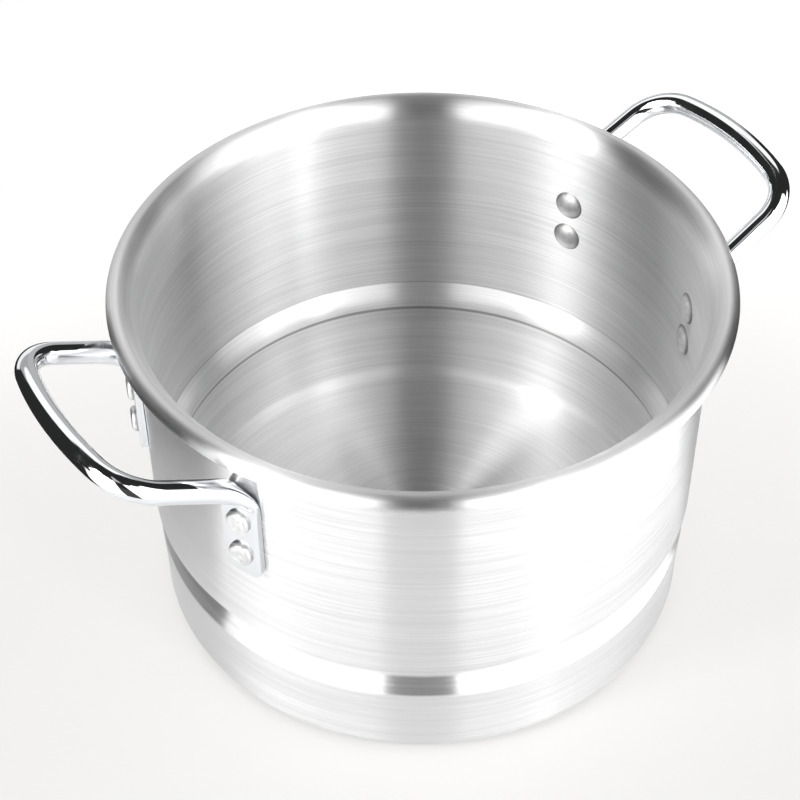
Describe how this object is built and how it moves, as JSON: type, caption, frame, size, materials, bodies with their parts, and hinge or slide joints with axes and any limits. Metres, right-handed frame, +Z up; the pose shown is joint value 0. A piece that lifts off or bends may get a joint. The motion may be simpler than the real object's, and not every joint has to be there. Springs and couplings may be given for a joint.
{
  "type": "stock pot",
  "caption": "Open round aluminium stock pot with a rolled rim, a stepped groove round its lower wall and bent chrome bar handles riveted to its sides.",
  "frame": {"origin": "middle of the base's underside, on the surface that the pot stands on", "axes": "+Z up along the pot's axis, +X towards the right handle, +Y to the rear"},
  "size_m": [0.3938, 0.3, 0.2039],
  "materials": {
    "spun_aluminium": "spun, with fine rings round the axis",
    "chrome_bar": "mirror polished",
    "rivet_aluminium": "satin"
  },
  "bodies": {
    "root": {"pot_body": "spun_aluminium", "left_handle": "chrome_bar", "right_handle": "chrome_bar", "left_front_upper_rivet": "rivet_aluminium", "left_front_lower_rivet": "rivet_aluminium", "left_rear_upper_rivet": "rivet_aluminium", "left_rear_lower_rivet": "rivet_aluminium", "right_front_upper_rivet": "rivet_aluminium", "right_front_lower_rivet": "rivet_aluminium", "right_rear_upper_rivet": "rivet_aluminium", "right_rear_lower_rivet": "rivet_aluminium"}
  },
  "joints": []
}
